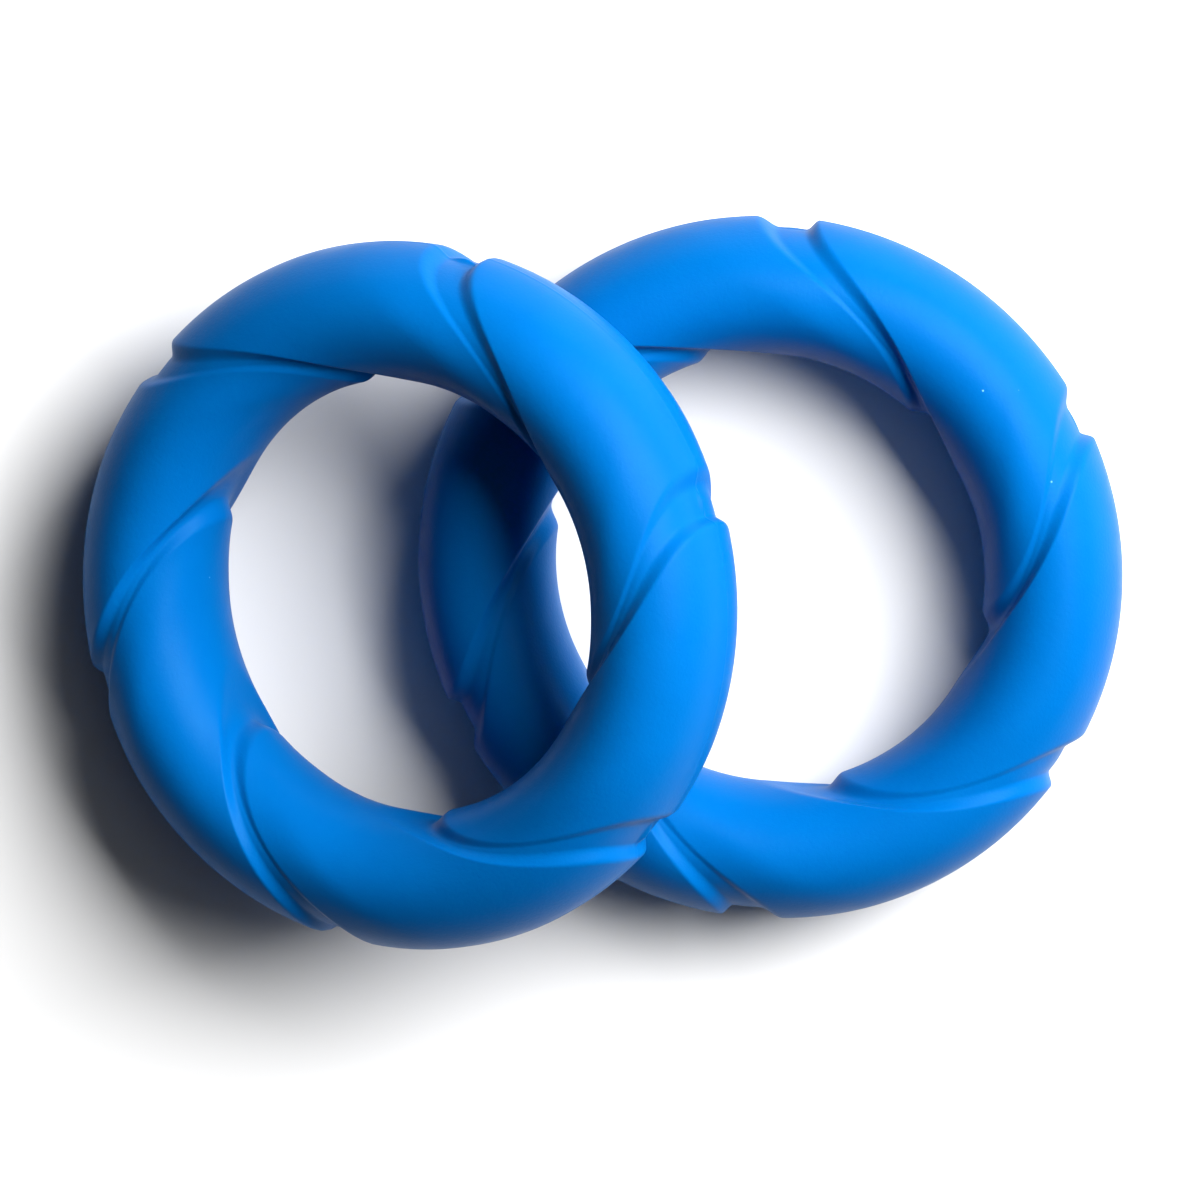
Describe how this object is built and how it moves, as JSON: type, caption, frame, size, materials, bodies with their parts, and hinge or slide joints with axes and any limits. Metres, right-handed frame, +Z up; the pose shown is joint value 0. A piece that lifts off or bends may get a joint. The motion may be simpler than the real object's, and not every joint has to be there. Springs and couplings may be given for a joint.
{
  "type": "soft ring pair",
  "caption": "Pair of soft moulded silicone rings with slanted grooves between rope-like lobes; one lies flat and the other leans on it.",
  "frame": {"origin": "on the floor, under the middle of the pair's box", "axes": "+Z up, +X from the leaning ring towards the flat one, +Y to the left of that"},
  "size_m": [0.0886, 0.06, 0.0337],
  "materials": {
    "silicone": "satin azure blue silicone, fine moulded grain"
  },
  "bodies": {
    "lower": {"lower_ring": "silicone"},
    "upper": {"upper_ring": "silicone"}
  },
  "joints": [
    {"name": "upper_ring_lift", "type": "slide", "parent": "lower", "child": "upper", "axis": [0, 0, 1], "range_m": [0, 0.03]}
  ]
}
